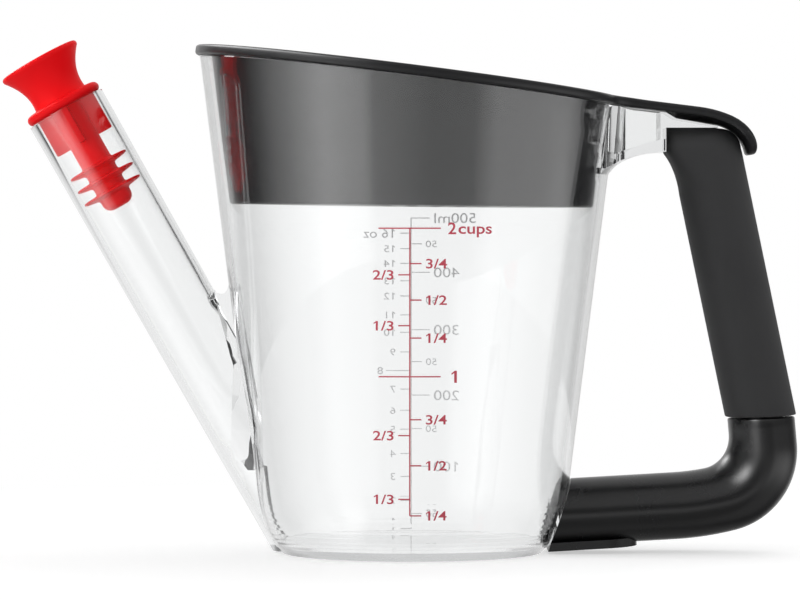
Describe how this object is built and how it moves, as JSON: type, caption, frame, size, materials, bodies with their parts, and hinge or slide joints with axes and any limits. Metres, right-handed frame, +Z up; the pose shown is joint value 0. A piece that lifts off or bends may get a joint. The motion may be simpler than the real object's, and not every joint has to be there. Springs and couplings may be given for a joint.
{
  "type": "gravy fat separator",
  "caption": "Clear measuring jug with a low-set pouring spout, a lift-out strainer lid with thumb tab, a pull-out spout stopper and a soft-grip handle.",
  "frame": {"origin": "centre of the jug's foot, on the surface it stands on", "axes": "+Z up along the cup's axis, +X from the spout to the handle, +Y to the jug's left seen from the handle"},
  "size_m": [0.2065, 0.1106, 0.133],
  "materials": {
    "clear_plastic": "clear, polished",
    "lid_plastic": "fine satin",
    "stopper_silicone": "satin",
    "frame_plastic": "semi-gloss",
    "grip_rubber": "matte",
    "screw_steel": "plain"
  },
  "bodies": {
    "jug": {"jug_body": "clear_plastic", "handle_frame": "frame_plastic", "soft_grip": "grip_rubber", "handle_screw": "screw_steel", "screw_cover": "frame_plastic"},
    "lid": {"strainer_lid": "lid_plastic"},
    "stopper": {"spout_stopper": "stopper_silicone"}
  },
  "joints": [
    {"name": "lid_lift", "type": "slide", "parent": "jug", "child": "lid", "axis": [0, 0, 1], "range_m": [0, 0.06]},
    {"name": "stopper_pull", "type": "slide", "parent": "jug", "child": "stopper", "axis": [-0.4924, 0, 0.8704], "range_m": [0, 0.04]}
  ]
}
